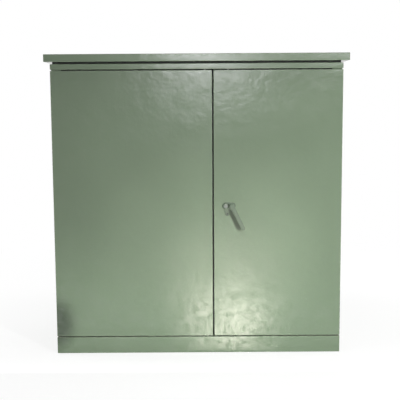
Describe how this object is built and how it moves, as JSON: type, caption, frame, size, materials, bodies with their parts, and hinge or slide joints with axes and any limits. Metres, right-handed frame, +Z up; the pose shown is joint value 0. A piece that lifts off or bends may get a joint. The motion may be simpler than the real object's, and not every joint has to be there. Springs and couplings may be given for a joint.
{
  "type": "pad-mounted transformer",
  "caption": "Grey-green steel pad-mounted distribution transformer: a two-door terminal cabinet with a lever-latched door, in front of an oil tank with plate radiators.",
  "frame": {"origin": "middle of the overall footprint, on the pad", "axes": "+X to the right seen from the doors, +Y from the doors to the radiators, +Z up"},
  "size_m": [1.7, 1.476, 1.729],
  "materials": {
    "paint": "glossy grey-green enamel",
    "steel": "zinc-plated steel",
    "chrome": "polished chrome plate",
    "seal": "black seal rubber",
    "core_steel": "laminated electrical steel",
    "clamp_steel": "primed steel",
    "copper": "bare copper",
    "winding": "paper-wrapped conductor",
    "bushing": "brown moulded resin",
    "porcelain": "brown glazed porcelain",
    "fuse_tube": "black moulded resin",
    "fuse_grip": "yellow moulded grip",
    "terminal": "tinned bar",
    "case": "black gauge case",
    "glass": "clear",
    "valve": "cast brass",
    "red": "red enamel"
  },
  "bodies": {
    "transformer": {"side_panel_left": "paint", "side_panel_right": "paint", "door_jambs": "paint", "header_beam": "paint", "front_sill": "paint", "door_stops": "paint", "centre_post": "paint", "barrier_panel": "paint", "roof_cap": "paint", "cabinet_seals": "seal", "cabinet_bolts": "steel", "hinge_brackets": "paint", "hinge_pins": "steel", "tank": "paint", "tank_cover": "paint", "cover_gasket": "seal", "cover_bolts": "steel", "base_skids": "paint", "lifting_lugs": "paint", "radiator_left": "paint", "radiator_right": "paint", "core": "core_steel", "lv_windings": "copper", "hv_windings": "winding", "core_clamps": "clamp_steel", "hv_bushings": "bushing", "parking_stands": "steel", "fuse_housings": "fuse_tube", "lv_bushings": "porcelain", "lv_spades": "terminal", "ground_pads": "steel", "neutral_strap": "copper", "gauge_cases": "case", "gauge_glasses": "glass", "relief_valve": "valve", "drain_valve": "valve", "control_bosses": "steel"},
    "left_door": {"hv_door": "paint", "hv_hinge_leaves": "paint"},
    "left_top_bolt": {"hv_top_bolt": "steel"},
    "left_bottom_bolt": {"hv_bottom_bolt": "steel"},
    "left_stay": {"hv_door_stay": "steel"},
    "right_door": {"lv_door": "paint", "lv_hinge_leaves": "paint", "handle_plate": "chrome"},
    "right_stay": {"lv_door_stay": "steel"},
    "handle": {"door_handle": "chrome", "latch_cam": "steel"},
    "upper_rod": {"latch_rod_upper": "steel"},
    "lower_rod": {"latch_rod_lower": "steel"},
    "lock": {"lock_cylinder": "chrome"},
    "fuse_1": {"fuse_holder_1": "fuse_grip"},
    "fuse_2": {"fuse_holder_2": "fuse_grip"},
    "fuse_3": {"fuse_holder_3": "fuse_grip"},
    "switch": {"switch_handle": "red"},
    "tap_changer": {"tap_handle": "steel"},
    "handwheel": {"valve_handwheel": "red"},
    "relief_pull": {"relief_ring": "steel"},
    "thermometer": {"thermometer_pointer": "red"},
    "level": {"level_pointer": "red"}
  },
  "joints": [
    {"name": "left_door_hinge", "type": "hinge", "parent": "transformer", "child": "left_door", "pos_m": [-0.806, -0.678, 0.863], "axis": [0, 0, -1], "range_deg": [0, 115]},
    {"name": "right_door_hinge", "type": "hinge", "parent": "transformer", "child": "right_door", "pos_m": [0.806, -0.678, 0.863], "axis": [0, 0, 1], "range_deg": [0, 115]},
    {"name": "handle_turn", "type": "hinge", "parent": "right_door", "child": "handle", "pos_m": [0.196, -0.692, 0.859], "axis": [0, -1, 0], "range_deg": [-27, 63]},
    {"name": "upper_rod_slide", "type": "slide", "parent": "right_door", "child": "upper_rod", "axis": [0, 0, 1], "range_m": [-0.0238, 0.0102]},
    {"name": "lower_rod_slide", "type": "slide", "parent": "right_door", "child": "lower_rod", "axis": [0, 0, 1], "range_m": [-0.0102, 0.0238]},
    {"name": "lock_turn", "type": "hinge", "parent": "right_door", "child": "lock", "pos_m": [0.161, -0.692, 0.859], "axis": [0, -1, 0], "range_deg": [0, 90]},
    {"name": "left_top_bolt_slide", "type": "slide", "parent": "left_door", "child": "left_top_bolt", "axis": [0, 0, 1], "range_m": [0, 0.014]},
    {"name": "left_bottom_bolt_slide", "type": "slide", "parent": "left_door", "child": "left_bottom_bolt", "axis": [0, 0, -1], "range_m": [0, 0.014]},
    {"name": "left_stay_turn", "type": "hinge", "parent": "left_door", "child": "left_stay", "pos_m": [-0.36, -0.676, 0.176], "axis": [0, 0, -1], "range_deg": [0, 55]},
    {"name": "right_stay_turn", "type": "hinge", "parent": "right_door", "child": "right_stay", "pos_m": [0.36, -0.676, 0.176], "axis": [0, 0, 1], "range_deg": [0, 55]},
    {"name": "fuse_1_pull", "type": "slide", "parent": "transformer", "child": "fuse_1", "axis": [0, -1, 0], "range_m": [0, 0.28]},
    {"name": "fuse_2_pull", "type": "slide", "parent": "transformer", "child": "fuse_2", "axis": [0, -1, 0], "range_m": [0, 0.28]},
    {"name": "fuse_3_pull", "type": "slide", "parent": "transformer", "child": "fuse_3", "axis": [0, -1, 0], "range_m": [0, 0.28]},
    {"name": "switch_turn", "type": "hinge", "parent": "transformer", "child": "switch", "pos_m": [-0.0905, -0.132, 1.01], "axis": [0, -1, 0], "range_deg": [0, 90]},
    {"name": "tap_turn", "type": "hinge", "parent": "transformer", "child": "tap_changer", "pos_m": [-0.0905, -0.132, 0.76], "axis": [0, -1, 0], "range_deg": [-72, 72]},
    {"name": "handwheel_turn", "type": "hinge", "parent": "transformer", "child": "handwheel", "pos_m": [0.6295, -0.234, 0.23], "axis": [0, 0, 1], "continuous": true},
    {"name": "relief_pull", "type": "slide", "parent": "transformer", "child": "relief_pull", "axis": [0, -1, 0], "range_m": [0, 0.006], "stiffness_N_per_m": 1500},
    {"name": "thermometer_turn", "type": "hinge", "parent": "transformer", "child": "thermometer", "pos_m": [0.2695, -0.132, 1.34], "axis": [0, -1, 0], "range_deg": [-200, 20]},
    {"name": "level_turn", "type": "hinge", "parent": "transformer", "child": "level", "pos_m": [0.4195, -0.132, 1.34], "axis": [0, -1, 0], "range_deg": [-45, 45]}
  ],
  "couplings": [
    {"joint": "upper_rod_slide", "follows": "handle_turn", "m_per_rad": -0.021608},
    {"joint": "lower_rod_slide", "follows": "handle_turn", "m_per_rad": 0.021608}
  ]
}
